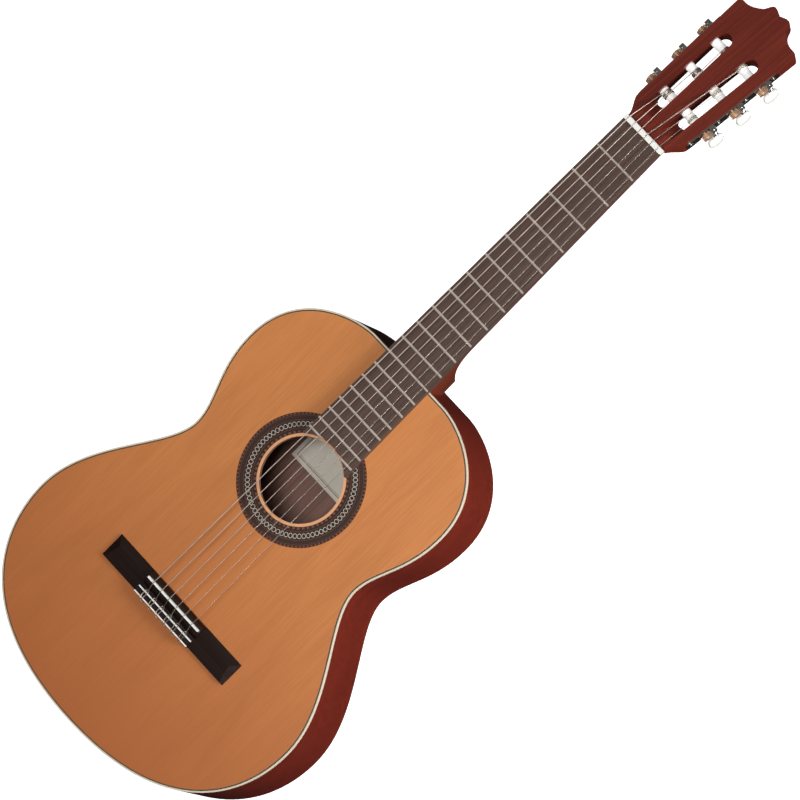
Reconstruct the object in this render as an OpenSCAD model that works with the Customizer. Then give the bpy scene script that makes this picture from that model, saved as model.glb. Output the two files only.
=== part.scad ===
// Classical guitar, six nylon strings, lying on its back.
// Row frame: z = 0 is the outside of the flat back, +Y runs along the neck to the head, +X is the
// treble side, and the origin is on the centre line at the middle of the body.
// Top frame (top_frame): z = 0 is the outside of the soundboard, above the same origin.
// Head frame (head_frame): y = 0 at the nut, z = 0 is the face of the head, which leans back.
// Tuner frame (tuner_frame): y runs along one edge of the head and +X points out of that edge.

/* [Body] */
// Length of the body, tail to neck joint
body_len = 486; // [480:1:492]
// Half of the width at the lower bout
lower_half = 188.5; // [186:0.5:191]
// Half of the width at the waist
waist_half = 120; // [118:0.5:122]
// Half of the width at the upper bout
upper_half = 144; // [142:0.5:146]
// Depth of the body at mid length
body_depth = 94.5; // [93:0.5:97]
// Angle between the top and the back, in degrees: the body is deeper at the tail
taper = 1.05; // [0.8:0.05:1.2]
// Thickness of the soundboard and of the back
plate_t = 2.6; // [2.4:0.1:2.8]
// Thickness of the ribs and of the bindings
rib_t = 2.2; // [2:0.1:2.4]
// Radius of the sound hole
hole_r = 43.5; // [43:0.5:44]
// Outer radius of the rosette
rosette_r = 67.5; // [66:0.5:69]

/* [Neck and fingerboard] */
// Length of a string from nut to saddle
scale_len = 650; // [646:1:654]
// Number of frets
fret_count = 19; // [17:1:19]
// Width of the fingerboard at the nut
nut_w = 52; // [51:0.5:53]
// Width of the fingerboard at the twelfth fret
joint_w = 60; // [59:0.5:62]
// Thickness of the fingerboard
board_t = 6.5; // [6:0.1:7]

/* [Strings] */
// Distance between the outer strings at the nut
nut_span = 43; // [42:0.5:44]
// Distance between the outer strings at the saddle
saddle_span = 58; // [57:0.5:59]
// Height of the underside of the strings above the top, at the nut
nut_string_z = 8.3; // [8.2:0.1:8.6]
// Height of the underside of the strings above the top, at the saddle
saddle_z = 12.8; // [12.4:0.1:13.2]

/* [Bridge] */
// Width of the bridge over both wings
bridge_w = 183; // [180:1:188]
// Width of the raised middle of the bridge
block_w = 79; // [78:1:82]
// Depth of the bridge along the strings
bridge_d = 27.5; // [27:0.5:29]

/* [Head] */
// Angle by which the head leans back from the top, in degrees
head_tilt = 14; // [13:0.5:15]
// Thickness of the head with its veneer
head_t = 20; // [19.5:0.5:21]
// Angle by which each edge of the head leans outward, in degrees
head_flare = 2.4; // [2:0.1:2.6]
// Width of a string slot in the head
slot_w = 16; // [15.5:0.1:16.5]
// Distance between two tuning machines
station_gap = 35; // [34.5:0.5:35.5]

/* [Tuning machines] */
// Number of teeth on each gear; the worm advances one tooth a turn
gear_teeth = 14; // [14]
// Radius of a string roller
roller_r = 5; // [4.8:0.1:5]
// Radial play of a shaft in its hole
play = 0.05; // [0.03:0.01:0.08]

/* [Hidden] */
$fn = 48;

tail_y = -body_len / 2;
joint_y = body_len / 2;
nut_y = joint_y + scale_len / 2;         // the twelfth fret is over the neck joint
saddle_y = nut_y - scale_len - 1.5;      // set back a little, to play in tune
far = 400;                               // longer than the body is wide

binding_h = 5.5;
purfling_w = 1.2;
purfling_h = 1.4;
inlay_depth = 1.5;
rosette_in = hole_r + 3;
hole_y = nut_y - 477;
lining_w = 6;
lining_h = 15;
inner_gap = rib_t + lining_w + 0.3;      // what is inside the linings stays this far from the edge
block_half = 38;
block_d = 22;
graft_half = 6;
strip_half = 1.5;

nut_d = 5.5;
nut_h = 9.1;
head_y = nut_y + nut_d;
head_z = 2;                              // face of the head above the top, at the nut
veneer_t = 2.5;
board_end = hole_y + 34;
board_arc = hole_r + 2.5;                // the end of the fingerboard follows the sound hole
tang_w = 0.6;
tang_d = 2;
crown_r = 1.2;

heel_len = 64;
heel_foot = 17;
cap_t = 3;
shaft_t = 15.5;                          // neck under the fingerboard, at the nut

bridge_front = saddle_y + 6;
bridge_back = bridge_front - bridge_d;
saddle_t = 2.2;
saddle_w = 76;
block_h = 9;
tie_front = bridge_back + 8;             // front of the tie block
tie_z = 6.2;                             // height of the tie holes
tie_hole_r = 1;
strip_w = 1.4;
saddle_foot = 3.2;
trough_z = 4.2;
wing_h = 4.4;
string_d = [0.71, 0.82, 1.02, 0.74, 0.89, 1.09];

edge_x = 34.9;                           // edge of the head, carried back to the nut
slot_mid = 21;                           // from the edge of the head to the middle of a slot
slot_start = 28;
slot_end = 126;
ramp_start = 12;                         // a ramp leads the strings down into each slot
ramp_end = 36;
ramp_depth = 13.5;
shoulder_y = 19;                         // the edges of the head are straight from here
crest_y = 175;                           // notch in the middle of the crest of the head
axis_z = -9;                             // roller axes below the face of the head
first_station = 42.5;
plate_thick = 1.2;
mesh_x = plate_thick + 3.4;              // worm axis and middle of the gear, out from the edge
centre_dist = 8.2;                       // worm axis to gear axis
gear_r = 6.35;
gear_root = 4.75;
gear_w = 4;
worm_r = 2.4;                            // round section of the thread, and how far it is off centre
worm_off = 0.75;
worm_half = 3.9;
worm_sides = 12;
lead = 2 * PI * (centre_dist - worm_r) / gear_teeth;
shaft_r = 1.5;
core_r = 2.5;
roller_end = -33;
button_top = -24.5;
button_len = 23.5;
button_r = 8.75;
screw_r = 1.1;

function bezier(a, b, c, d, n) = [for (i = [0:n - 1]) let (t = i / n, s = 1 - t)
    s * s * s * a + 3 * s * s * t * b + 3 * s * t * t * c + t * t * t * d];
function flip(p) = [for (i = [len(p) - 1:-1:0]) [-p[i].x, p[i].y]];
function unit2(v) = v / norm(v);

// Half of the outline of the body, from the tail to the neck joint
steps = 12;
half_line = concat(
    bezier([0, tail_y], [150, tail_y], [lower_half, tail_y + 79], [lower_half, tail_y + 139], steps),
    bezier([lower_half, tail_y + 139], [lower_half, tail_y + 205], [waist_half, tail_y + 259],
        [waist_half, tail_y + 297], steps),
    bezier([waist_half, tail_y + 297], [waist_half, tail_y + 325], [upper_half, tail_y + 347],
        [upper_half, tail_y + 395], steps),
    bezier([upper_half, tail_y + 395], [upper_half, tail_y + 463], [78, joint_y], [50, joint_y],
        steps),
    [[50, joint_y]]);
outline = concat(half_line, [for (p = flip(half_line)) if (p.x < -0.01) p]);

// The same outline moved inward, square to the edge
function inward(d) = let (n = len(outline)) [for (i = [0:n - 1])
    let (t = unit2(outline[(i + 1) % n] - outline[(i + n - 1) % n]))
    outline[i] + d * [-t.y, t.x]];

function fret_y(n) = nut_y - scale_len * (1 - pow(2, -n / 12));
function board_w(y) = nut_w + (joint_w - nut_w) * (nut_y - y) / (nut_y - joint_y);
function string_x(i, span) = span / 2 - i * span / 5;
// Strings 1 and 6 go to the first station, 2 and 5 to the second, 3 and 4 to the third
function station(i) = first_station + station_gap * (i < 3 ? i : 5 - i);
function on_treble(i) = i < 3;

// Top frame to head frame, for points on the strings
function to_top(p) = [p.x, head_y + p.y * cos(head_tilt) + p.z * sin(head_tilt),
    head_z - p.y * sin(head_tilt) + p.z * cos(head_tilt)];

module top_frame() translate([0, 0, body_depth]) rotate([-taper, 0, 0]) children();
module head_frame() top_frame() translate([0, head_y, head_z]) rotate([-head_tilt, 0, 0]) children();
module treble_edge() head_frame() translate([edge_x, 0, 0]) rotate([0, 0, -head_flare]) children();
module bass_edge() head_frame() mirror([1, 0, 0]) translate([edge_x, 0, 0])
    rotate([0, 0, -head_flare]) children();
module tuner_frame(treble) {
    if (treble) treble_edge() children();
    else bass_edge() children();
}

// A box from one corner to the other
module span_box(a, b) translate(a) cube(b - a);
// A slab of the row frame, from one height to another
module slab(z0, z1) span_box([-far, -far, z0], [far, far, z1]);
module side_of(treble) span_box([treble ? 0 : -far, -far, -far], [treble ? far : 0, far, far]);
// The body's outline, drawn inward by d and extruded in the top frame
module body_prism(d, z0, z1) translate([0, 0, z0]) linear_extrude(z1 - z0) polygon(inward(d));
module body_ring(d0, d1, z0, z1) difference() {
    body_prism(d0, z0, z1);
    body_prism(d1, z0 - 1, z1 + 1);
}
module end_blocks() {
    span_box([-block_half, joint_y - block_d, -far], [block_half, far, far]);
    span_box([-block_half, -far, -far], [block_half, tail_y + block_d, far]);
}

// A solid through a list of rings with the same number of points
module loft(rings) {
    n = len(rings[0]);
    m = len(rings);
    polyhedron([for (r = rings) each r], concat(
        [[for (i = [0:n - 1]) i]],
        [for (k = [0:m - 2], i = [0:n - 1])
            [k * n + i, (k + 1) * n + i, (k + 1) * n + (i + 1) % n, k * n + (i + 1) % n]],
        [[for (i = [n - 1:-1:0]) (m - 1) * n + i]]), convexity = 6);
}

module soundboard_half(treble) color([0.80, 0.53, 0.30]) top_frame() difference() {
    intersection() {
        body_prism(rib_t, -plate_t, 0);
        side_of(treble);
    }
    body_ring(rib_t - 1, rib_t + purfling_w, -purfling_h, 1);
    translate([0, hole_y, -far]) cylinder(r = hole_r, h = 2 * far, $fn = 128);
    rosette_ring(1);
}
module soundboard_bass() soundboard_half(false);
module soundboard_treble() soundboard_half(true);

module rosette_ring(up) translate([0, hole_y, -inlay_depth]) difference() {
    cylinder(r = rosette_r, h = inlay_depth + up, $fn = 128);
    translate([0, 0, -1]) cylinder(r = rosette_in, h = inlay_depth + up + 2, $fn = 128);
}
module rosette() color([0.28, 0.17, 0.12]) top_frame() rosette_ring(0);

module soundhole_doubler() color([0.82, 0.66, 0.45]) top_frame()
    translate([0, hole_y, -plate_t - 2]) difference() {
        cylinder(r = hole_r + 12, h = 2, $fn = 128);
        translate([0, 0, -1]) cylinder(r = hole_r, h = 4, $fn = 128);
    }

patch_t = 1.2;
module patch() span_box([-bridge_w / 2 + 4, bridge_back + 2, -plate_t - patch_t],
    [bridge_w / 2 - 4, bridge_front - 2, -plate_t]);
module bridge_patch() color([0.75, 0.58, 0.38]) top_frame() patch();

// Two bars across, either side of the hole, and seven fan struts with two bars closing them
module top_braces() color([0.85, 0.72, 0.50]) top_frame() {
    bar_gap = hole_r + 20;
    intersection() {
        for (y = [hole_y - bar_gap, hole_y + bar_gap])
            span_box([-far, y - 4, -plate_t - 14], [far, y + 4, -plate_t]);
        body_prism(inner_gap, -far, 0);
    }
    difference() {
        for (i = [-3:3])
            translate([i * 16, hole_y - bar_gap - 8, 0]) rotate([0, 0, i * 5])
                span_box([-2.5, -175, -plate_t - 5], [2.5, 0, -plate_t]);
        patch();
    }
    for (s = [-1, 1])
        translate([s * 6, tail_y + 36, 0]) rotate([0, 0, s * 20])
            span_box([s > 0 ? 0 : -92, -2.5, -plate_t - 5], [s > 0 ? 92 : 0, 2.5, -plate_t]);
}

module back_half(treble) color([0.33, 0.13, 0.09]) difference() {
    intersection() {
        top_frame() body_prism(rib_t, -far, 0);
        slab(0, plate_t);
        side_of(treble);
    }
    span_box([-strip_half, -far, -1], [strip_half, far, plate_t + 1]);
}
module back_bass() back_half(false);
module back_treble() back_half(true);
module back_centre_strip() color([0.33, 0.13, 0.09]) intersection() {
    top_frame() body_prism(rib_t, -far, 0);
    span_box([-strip_half, -far, 0], [strip_half, far, plate_t]);
}

module back_braces() color([0.85, 0.72, 0.50]) intersection() {
    for (y = [160, 20, -120])
        span_box([-far, y - 4, plate_t], [far, y + 4, plate_t + 14]);
    top_frame() body_prism(inner_gap, -far, 0);
}

// The ribs stand between the two bindings
module rib_wall() intersection() {
    top_frame() body_ring(0, rib_t, -far, -binding_h);
    slab(binding_h, far);
}
module graft_box() top_frame() span_box([-graft_half, -far, -far], [graft_half, tail_y + 10, far]);
module rib_half(treble) color([0.40, 0.14, 0.09]) difference() {
    intersection() {
        rib_wall();
        side_of(treble);
    }
    graft_box();
}
module rib_bass() rib_half(false);
module rib_treble() rib_half(true);
module end_graft() color([0.85, 0.75, 0.55]) intersection() {
    rib_wall();
    graft_box();
}

module inner_block() intersection() {
    top_frame() body_prism(rib_t, -far, -plate_t);
    slab(plate_t, far);
    top_frame() children();
}
module neck_block() color([0.55, 0.33, 0.20]) inner_block()
    span_box([-block_half, joint_y - block_d, -far], [block_half, far, far]);
module tail_block() color([0.55, 0.33, 0.20]) inner_block()
    span_box([-block_half, -far, -far], [block_half, tail_y + block_d, far]);

module top_linings() color([0.78, 0.62, 0.42]) top_frame() difference() {
    body_ring(rib_t, rib_t + lining_w, -plate_t - lining_h, -plate_t);
    end_blocks();
}
module back_linings() color([0.78, 0.62, 0.42]) difference() {
    intersection() {
        top_frame() body_ring(rib_t, rib_t + lining_w, -far, 0);
        slab(plate_t, plate_t + lining_h);
    }
    top_frame() end_blocks();
}

module top_binding() color([0.90, 0.86, 0.72]) top_frame() body_ring(0, rib_t, -binding_h, 0);
module top_purfling() color([0.15, 0.13, 0.08]) top_frame()
    body_ring(rib_t, rib_t + purfling_w, -purfling_h, 0);
module back_binding() color([0.30, 0.11, 0.08]) intersection() {
    top_frame() body_ring(0, rib_t, -far, 0);
    slab(0, binding_h);
}

// Height in the top frame of the joint between the heel and its cap
function heel_floor(y) = (cap_t - body_depth + y * sin(taper)) / cos(taper);
// Depth of the neck below the top, which sweeps down into the heel
function neck_depth(y) = let (s = (y - joint_y - heel_foot) / (heel_len - heel_foot),
    shaft = shaft_t + 1.5 * (nut_y - y) / (nut_y - joint_y))
    s <= 0 ? -heel_floor(y) : s >= 1 ? shaft
    : shaft + (-heel_floor(y) - shaft) * pow(1 - s, 2);
// Half round along the shaft; squarer, and narrower at the bottom, in the heel
function neck_ring(y) = let (a = board_w(y) / 2, b = neck_depth(y),
    deep = (b - shaft_t) / (body_depth - shaft_t))
    [for (t = [0:10:180]) [a * sign(cos(t)) * pow(abs(cos(t)), 1 - 0.35 * deep)
        * (1 - 0.3 * deep * pow(sin(t), 2)), y, -min(b, 1.1 * b * sin(t))]];
module neck() color([0.42, 0.15, 0.10]) top_frame()
    loft([for (y = concat([joint_y], [for (k = [0:15]) joint_y + heel_foot
            + (heel_len - heel_foot) * k / 15], [head_y]))
        neck_ring(y)]);
module heel_cap() color([0.25, 0.11, 0.08]) {
    foot = neck_ring(joint_y + heel_foot);
    cap_half = max([for (p = foot) if (p.z <= heel_floor(p.y) + 0.01) p.x]);
    back_y = joint_y * cos(taper) - body_depth * sin(taper);
    intersection() {
        translate([0, back_y, 0]) linear_extrude(cap_t) hull() {
            translate([-cap_half, 0]) square([2 * cap_half, 1]);
            for (s = [-1, 1])
                translate([s * (cap_half - 5), heel_foot - 5]) circle(r = 5);
        }
        top_frame() span_box([-far, joint_y, -far], [far, far, far]);
    }
}

// Half of the outline of the head, from the nut up the treble edge to the middle of the crest
top_y = crest_y - 19;
top_x = edge_x + top_y * tan(head_flare);
head_line = concat(
    bezier([nut_w / 2, -12], [nut_w / 2, -8], [nut_w / 2, -4], [nut_w / 2, 0], 2),
    bezier([nut_w / 2, 0], [nut_w / 2 + 1, 7], [edge_x - 2, 11], [edge_x + 0.8, shoulder_y], 6),
    bezier([top_x, top_y], [top_x, top_y + 3.5], [top_x - 3, top_y + 4.5], [top_x - 7, top_y + 4.3], 4),
    bezier([top_x - 7, top_y + 4.3], [28, top_y + 4], [22, crest_y - 11], [17, crest_y - 6.7], 5),
    bezier([17, crest_y - 6.7], [14.5, crest_y - 4.5], [14, crest_y + 2], [10.5, crest_y + 3], 4),
    bezier([10.5, crest_y + 3], [7, crest_y + 4], [3, crest_y + 1], [0, crest_y], 6));
module head_shape() polygon(concat(head_line, [[0, crest_y]], flip(head_line)));
// A slot as a flat shape in the tuner frame
module slot_shape() translate([-slot_mid, 0]) union() {
    translate([-slot_w / 2, slot_start + slot_w / 2])
        square([slot_w, slot_end - slot_start - slot_w]);
    for (y = [slot_start + slot_w / 2, slot_end - slot_w / 2])
        translate([0, y]) circle(d = slot_w);
}
module head_plate(z0, z1) difference() {
    intersection() {
        head_frame() translate([0, 0, z0]) linear_extrude(z1 - z0) head_shape();
        top_frame() span_box([-far, head_y, -far], [far, far + head_y, far]);
    }
    for (treble = [false, true])
        tuner_frame(treble) {
            translate([0, 0, z0 - 1]) linear_extrude(z1 - z0 + 2) slot_shape();
            extrude_x(-slot_mid - slot_w / 2, -slot_mid + slot_w / 2) slot_ramp();
        }
}
// Side of the ramp at the nut end of a slot, drawn from the face of the head down
module slot_ramp() polygon([[ramp_start - (ramp_end - ramp_start) / ramp_depth, 1],
    [ramp_end, -ramp_depth], [ramp_end, 1]]);
module along_x(x0, x1, r) translate([x0, 0, 0]) rotate([0, 90, 0]) cylinder(r = r, h = x1 - x0);
module headstock() color([0.42, 0.15, 0.10]) difference() {
    head_plate(-head_t, -veneer_t);
    for (i = [0:5])
        tuner_frame(on_treble(i)) translate([0, station(i), axis_z])
            along_x(roller_end - 0.4, 1, roller_r + play);
    plate_screw_places() along_x(-9, 1, screw_r);
}
module head_veneer() color([0.35, 0.12, 0.09]) head_plate(-veneer_t, 0);

module fret_slot(n, w, d) translate([-40, fret_y(n) - w / 2, board_t - d]) cube([80, w, d + 1]);
module fingerboard() color([0.30, 0.23, 0.20]) top_frame() difference() {
    linear_extrude(board_t) polygon([[-board_w(board_end) / 2, board_end],
        [board_w(board_end) / 2, board_end], [nut_w / 2, nut_y], [-nut_w / 2, nut_y]]);
    translate([0, hole_y, -1]) cylinder(r = board_arc, h = board_t + 2, $fn = 128);
    for (n = [1:fret_count]) fret_slot(n, tang_w, tang_d);
}
module frets() color([0.80, 0.80, 0.78]) top_frame() difference() {
    for (n = [1:fret_count]) {
        w = board_w(fret_y(n)) - 0.4;
        translate([0, fret_y(n), board_t]) intersection() {
            union() {
                along_x(-w / 2, w / 2, crown_r);
                span_box([-w / 2, -tang_w / 2, -tang_d], [w / 2, tang_w / 2, 0]);
            }
            union() {
                span_box([-w, -3, 0], [w, 3, 3]);
                span_box([-w, -tang_w / 2, -tang_d], [w, tang_w / 2, 1]);
            }
        }
    }
    translate([0, hole_y, -1]) cylinder(r = board_arc + 0.2, h = 20, $fn = 128);
}

module nut() color([0.93, 0.91, 0.85]) top_frame() difference() {
    span_box([-nut_w / 2, nut_y, 0], [nut_w / 2, nut_y + nut_d, nut_h]);
    for (i = [0:5])
        translate([string_x(i, nut_span), nut_y, nut_string_z - 0.05])
            span_box([-string_d[i] / 2 - 0.1, -1, 0], [string_d[i] / 2 + 0.1, nut_d + 1, 5]);
}

module extrude_y(y0, y1) translate([0, y1, 0]) rotate([90, 0, 0]) linear_extrude(y1 - y0) children();
module extrude_x(x0, x1) translate([x0, 0, 0]) rotate([90, 0, 90]) linear_extrude(x1 - x0) children();
// Thin wings with a ridge along them and a sloping end, and a raised block between them
module bridge() color([0.16, 0.09, 0.07]) top_frame() difference() {
    tip = bridge_w / 2;
    union() {
        intersection() {
            extrude_x(-tip, tip) polygon([[bridge_back, 0], [bridge_front, 0], [bridge_front, 1.6],
                [bridge_front - 9, wing_h], [bridge_back, 3]]);
            extrude_y(bridge_back, bridge_front) polygon([[-tip, 0], [tip, 0], [tip, 1.6],
                [tip - 8, wing_h], [-tip + 8, wing_h], [-tip, 1.6]]);
        }
        extrude_x(-block_w / 2, block_w / 2) polygon([[bridge_back, 0], [bridge_front, 0],
            [bridge_front, 4.5], [saddle_y + 3, block_h], [saddle_y - 4.5, block_h],
            [tie_front + 3, trough_z], [tie_front, trough_z], [tie_front, block_h],
            [bridge_back, block_h]]);
    }
    span_box([-saddle_w / 2, saddle_y - saddle_t, saddle_foot], [saddle_w / 2, saddle_y, 20]);
    inlay_strips(1);
    for (i = [0:5])
        translate([string_x(i, saddle_span), bridge_back - 1, tie_z]) rotate([-90, 0, 0])
            cylinder(r = tie_hole_r, h = 10);
}
module inlay_strips(up)
    for (y = [tie_front - strip_w, bridge_back])
        span_box([-block_w / 2, y, block_h - 1.5], [block_w / 2, y + strip_w, block_h + up]);
module tie_block_inlays() color([0.93, 0.91, 0.85]) top_frame() inlay_strips(0);
module saddle() color([0.93, 0.91, 0.85]) top_frame()
    span_box([-saddle_w / 2, saddle_y - saddle_t, saddle_foot], [saddle_w / 2, saddle_y, saddle_z]);

module label() color([0.85, 0.82, 0.72])
    span_box([-54, hole_y - 4.5, plate_t], [54, hole_y + 62, plate_t + 0.2]);

// A round cord through points that run along Y
module tube(points, d) loft([for (k = [0:len(points) - 1])
    let (dir = points[min(k + 1, len(points) - 1)] - points[max(k - 1, 0)],
        v = dir / norm(dir), side = cross(v, [0, 0, 1]), s = side / norm(side), u = cross(s, v))
    [for (a = [0:45:315]) points[k] + d / 2 * (cos(a) * s + sin(a) * u)]]);
// Where each string meets its roller, in the head frame
roller_x = [20, 16.5, 13.5, -13.5, -16.5, -20];
function string_route(i) = let (d = string_d[i], xs = string_x(i, saddle_span),
    xn = string_x(i, nut_span), y0 = saddle_y - saddle_t, z0 = saddle_z + d / 2 + 0.02,
    z1 = nut_string_z + d / 2) [
    [xs, bridge_back - 2, tie_z], [xs, tie_front - 1, tie_z], [xs, tie_front + 0.3, tie_z + 0.1],
    [xs, y0 - 0.9, z0 - 0.9], [xs, y0 - 0.2, z0], [xs, saddle_y + 2, z0],
    [xn, nut_y, z1], [xn, nut_y + nut_d, z1], [xn, nut_y + nut_d + 1.2, z1 - 0.15],
    to_top([roller_x[i], station(i) - 0.5, axis_z + roller_r + d / 2 + 0.45])];
module treble_strings() color([0.92, 0.90, 0.85]) top_frame()
    for (i = [0:2]) tube(string_route(i), string_d[i]);
module bass_strings() color([0.75, 0.72, 0.68]) top_frame()
    for (i = [3:5]) tube(string_route(i), string_d[i]);

screw_places = [first_station - 17, first_station + station_gap / 2,
    first_station + 1.5 * station_gap, first_station + 2 * station_gap + 17];
module plate_screw_places()
    for (treble = [false, true], y = screw_places)
        tuner_frame(treble) translate([0, y, axis_z]) children();
// Side plate with a pair of bearing posts for each worm
module tuner_plate(treble) color([0.80, 0.78, 0.72]) tuner_frame(treble) difference() {
    union() {
        translate([0, 0, axis_z]) {
            span_box([0, screw_places[0], -6.5], [plate_thick, screw_places[3], 6.5]);
            for (y = [screw_places[0], screw_places[3]])
                translate([0, y, 0]) along_x(0, plate_thick, 6.5);
        }
        for (k = [0:2], s = [-1, 1])
            translate([plate_thick, station(k) + centre_dist, axis_z + s * (worm_half + 1.5)])
                span_box([-0.1, -2.8, -1.25], [mesh_x - plate_thick + 2.8, 2.8, 1.25]);
    }
    for (k = [0:2]) {
        translate([0, station(k), axis_z]) along_x(-1, 20, core_r + play);
        translate([mesh_x, station(k) + centre_dist, axis_z - 12])
            cylinder(r = shaft_r + play, h = 24);
    }
    for (y = screw_places) translate([0, y, axis_z]) along_x(-1, 20, screw_r);
}
module tuner_plate_bass() tuner_plate(false);
module tuner_plate_treble() tuner_plate(true);
module plate_screws() color([0.80, 0.78, 0.72]) plate_screw_places() {
    along_x(-9, plate_thick, screw_r);
    difference() {
        along_x(plate_thick, plate_thick + 1.2, 2.2);
        span_box([plate_thick + 0.6, -0.3, -3], [plate_thick + 2, 0.3, 3]);
    }
}

module at_worm(i) tuner_frame(on_treble(i))
    translate([mesh_x, station(i) + centre_dist, axis_z]) children();
module at_roller(i) tuner_frame(on_treble(i)) translate([0, station(i), axis_z]) children();

// Shaft with a single-start thread: a round section, off centre, that turns once in each lead
function worm_ring(z) = [for (t = [0:360 / worm_sides:359])
    let (a = t - 360 * z / lead, r = worm_off * cos(a) + sqrt(pow(worm_r, 2) - pow(worm_off * sin(a), 2)))
    [-r * sin(t), r * cos(t), z]];
module worm(i) color([0.80, 0.78, 0.72]) at_worm(i) {
    turns = floor(2 * worm_half / lead * worm_sides);
    loft([for (k = [0:turns]) worm_ring(-worm_half + 2 * worm_half * k / turns)]);
    translate([0, 0, worm_half]) cylinder(r = shaft_r, h = 3.4);
    translate([0, 0, button_top - axis_z - 8])
        cylinder(r = shaft_r, h = 8 - worm_half - (button_top - axis_z));
}
module button(i) color([0.88, 0.85, 0.78]) at_worm(i) translate([0, 0, button_top - axis_z])
    difference() {
        union() {
            translate([-3.8, 0, 0]) rotate([90, 0, 90]) linear_extrude(7.6) hull()
                for (y = [-1.5 - button_r, button_r - button_len])
                    translate([0, y]) circle(r = button_r);
            translate([0, 0, -3]) cylinder(r = 3, h = 3);
        }
        translate([0, 0, -8]) cylinder(r = shaft_r, h = 9);
    }
// Gear with its core pin, which carries the roller, and the screw that holds it
module gear(i) color([0.72, 0.50, 0.30]) at_roller(i) {
    difference() {
        along_x(mesh_x - gear_w / 2, mesh_x + gear_w / 2, gear_r);
        for (k = [0:gear_teeth - 1])
            rotate([(k + 0.5) * 360 / gear_teeth, 0, 0]) translate([mesh_x, 0, 0])
                rotate([0, -lead_angle, 0]) gear_groove();
    }
    along_x(roller_end + 1, mesh_x - gear_w / 2, core_r);
    difference() {
        along_x(mesh_x + gear_w / 2, mesh_x + gear_w / 2 + 1.2, 2.6);
        span_box([mesh_x + gear_w / 2 + 0.6, -0.3, -3], [mesh_x + gear_w / 2 + 2, 0.3, 3]);
    }
}
lead_angle = atan(lead / (2 * PI * worm_r));
groove_top = gear_r + 0.4;
module gear_groove() rotate([90, 0, 90]) linear_extrude(3 * gear_w, center = true)
    polygon([[gear_root, -0.22], [groove_top, -1.36], [groove_top, 1.36], [gear_root, 0.22]]);
module roller(i) color([0.95, 0.94, 0.90]) at_roller(i) difference() {
    along_x(roller_end, -0.1, roller_r);
    along_x(roller_end + 1, 1, core_r);
}

soundboard_bass();
soundboard_treble();
rosette();
soundhole_doubler();
top_braces();
bridge_patch();
back_bass();
back_treble();
back_centre_strip();
back_braces();
rib_bass();
rib_treble();
neck_block();
tail_block();
top_linings();
back_linings();
top_binding();
top_purfling();
back_binding();
end_graft();
neck();
headstock();
head_veneer();
heel_cap();
fingerboard();
frets();
nut();
bridge();
tie_block_inlays();
saddle();
label();
treble_strings();
bass_strings();
tuner_plate_bass();
tuner_plate_treble();
plate_screws();
worm(0);  // worm_1
worm(1);  // worm_2
worm(2);  // worm_3
worm(3);  // worm_4
worm(4);  // worm_5
worm(5);  // worm_6
button(0);  // button_1
button(1);  // button_2
button(2);  // button_3
button(3);  // button_4
button(4);  // button_5
button(5);  // button_6
gear(0);  // gear_1
gear(1);  // gear_2
gear(2);  // gear_3
gear(3);  // gear_4
gear(4);  // gear_5
gear(5);  // gear_6
roller(0);  // roller_1
roller(1);  // roller_2
roller(2);  // roller_3
roller(3);  // roller_4
roller(4);  // roller_5
roller(5);  // roller_6
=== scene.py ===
"""Looks of the classical guitar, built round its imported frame. Lengths are in millimetres until mesh()."""
import math

import bmesh
import bpy
import numpy as np
from mathutils import Matrix, Vector
from mathutils.geometry import tessellate_polygon


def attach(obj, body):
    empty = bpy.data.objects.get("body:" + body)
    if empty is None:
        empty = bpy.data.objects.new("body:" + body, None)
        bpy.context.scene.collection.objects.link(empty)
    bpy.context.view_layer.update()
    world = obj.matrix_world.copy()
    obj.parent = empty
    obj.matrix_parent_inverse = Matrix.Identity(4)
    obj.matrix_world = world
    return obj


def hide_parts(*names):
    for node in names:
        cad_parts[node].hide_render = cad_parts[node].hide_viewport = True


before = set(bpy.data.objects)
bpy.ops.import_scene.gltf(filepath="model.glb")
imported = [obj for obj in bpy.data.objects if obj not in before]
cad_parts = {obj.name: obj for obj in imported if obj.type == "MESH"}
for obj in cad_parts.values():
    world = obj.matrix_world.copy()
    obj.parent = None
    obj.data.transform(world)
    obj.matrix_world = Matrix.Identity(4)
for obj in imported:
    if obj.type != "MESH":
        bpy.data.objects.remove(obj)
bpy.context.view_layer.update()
MM = 0.001
GUITAR = "guitar"

# ---------------------------------------------------------------- sizes, as in the CAD source
BODY_LEN, BODY_DEPTH, TAPER = 486.0, 94.5, math.radians(1.05)
LOWER, WAIST, UPPER = 188.5, 120.0, 144.0
PLATE_T, RIB_T, BINDING_H, PURFLING_W, PURFLING_H = 2.6, 2.2, 5.5, 1.2, 1.4
HOLE_R, ROSETTE_R = 43.5, 67.5
ROSETTE_IN = HOLE_R + 3
BAND_W, BAND_H = 1.8, 3.2                # the part of the top binding that is cream
TAIL_Y, JOINT_Y = -BODY_LEN / 2, BODY_LEN / 2
SCALE_LEN = 650.0
NUT_Y = JOINT_Y + SCALE_LEN / 2
SADDLE_Y = NUT_Y - SCALE_LEN - 1.5
HOLE_Y = NUT_Y - 477
NUT_W, JOINT_W, NUT_D = 52.0, 60.0, 5.5
NUT_SPAN, SADDLE_SPAN, NUT_STRING_Z, SADDLE_Z, SADDLE_T = 43.0, 58.0, 8.3, 12.8, 2.2
BRIDGE_FRONT = SADDLE_Y + 6
BRIDGE_BACK = BRIDGE_FRONT - 27.5
TIE_FRONT, TIE_Z, BLOCK_H = BRIDGE_BACK + 8, 6.2, 9.0
HEAD_Y, HEAD_Z, HEAD_TILT, HEAD_T = NUT_Y + NUT_D, 2.0, math.radians(14), 20.0
EDGE_X, FLARE, VENEER_T = 34.9, math.radians(2.4), 2.5
SLOT_MID, SLOT_W, SLOT_START, SLOT_END = 21.0, 16.0, 28.0, 126.0
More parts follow.
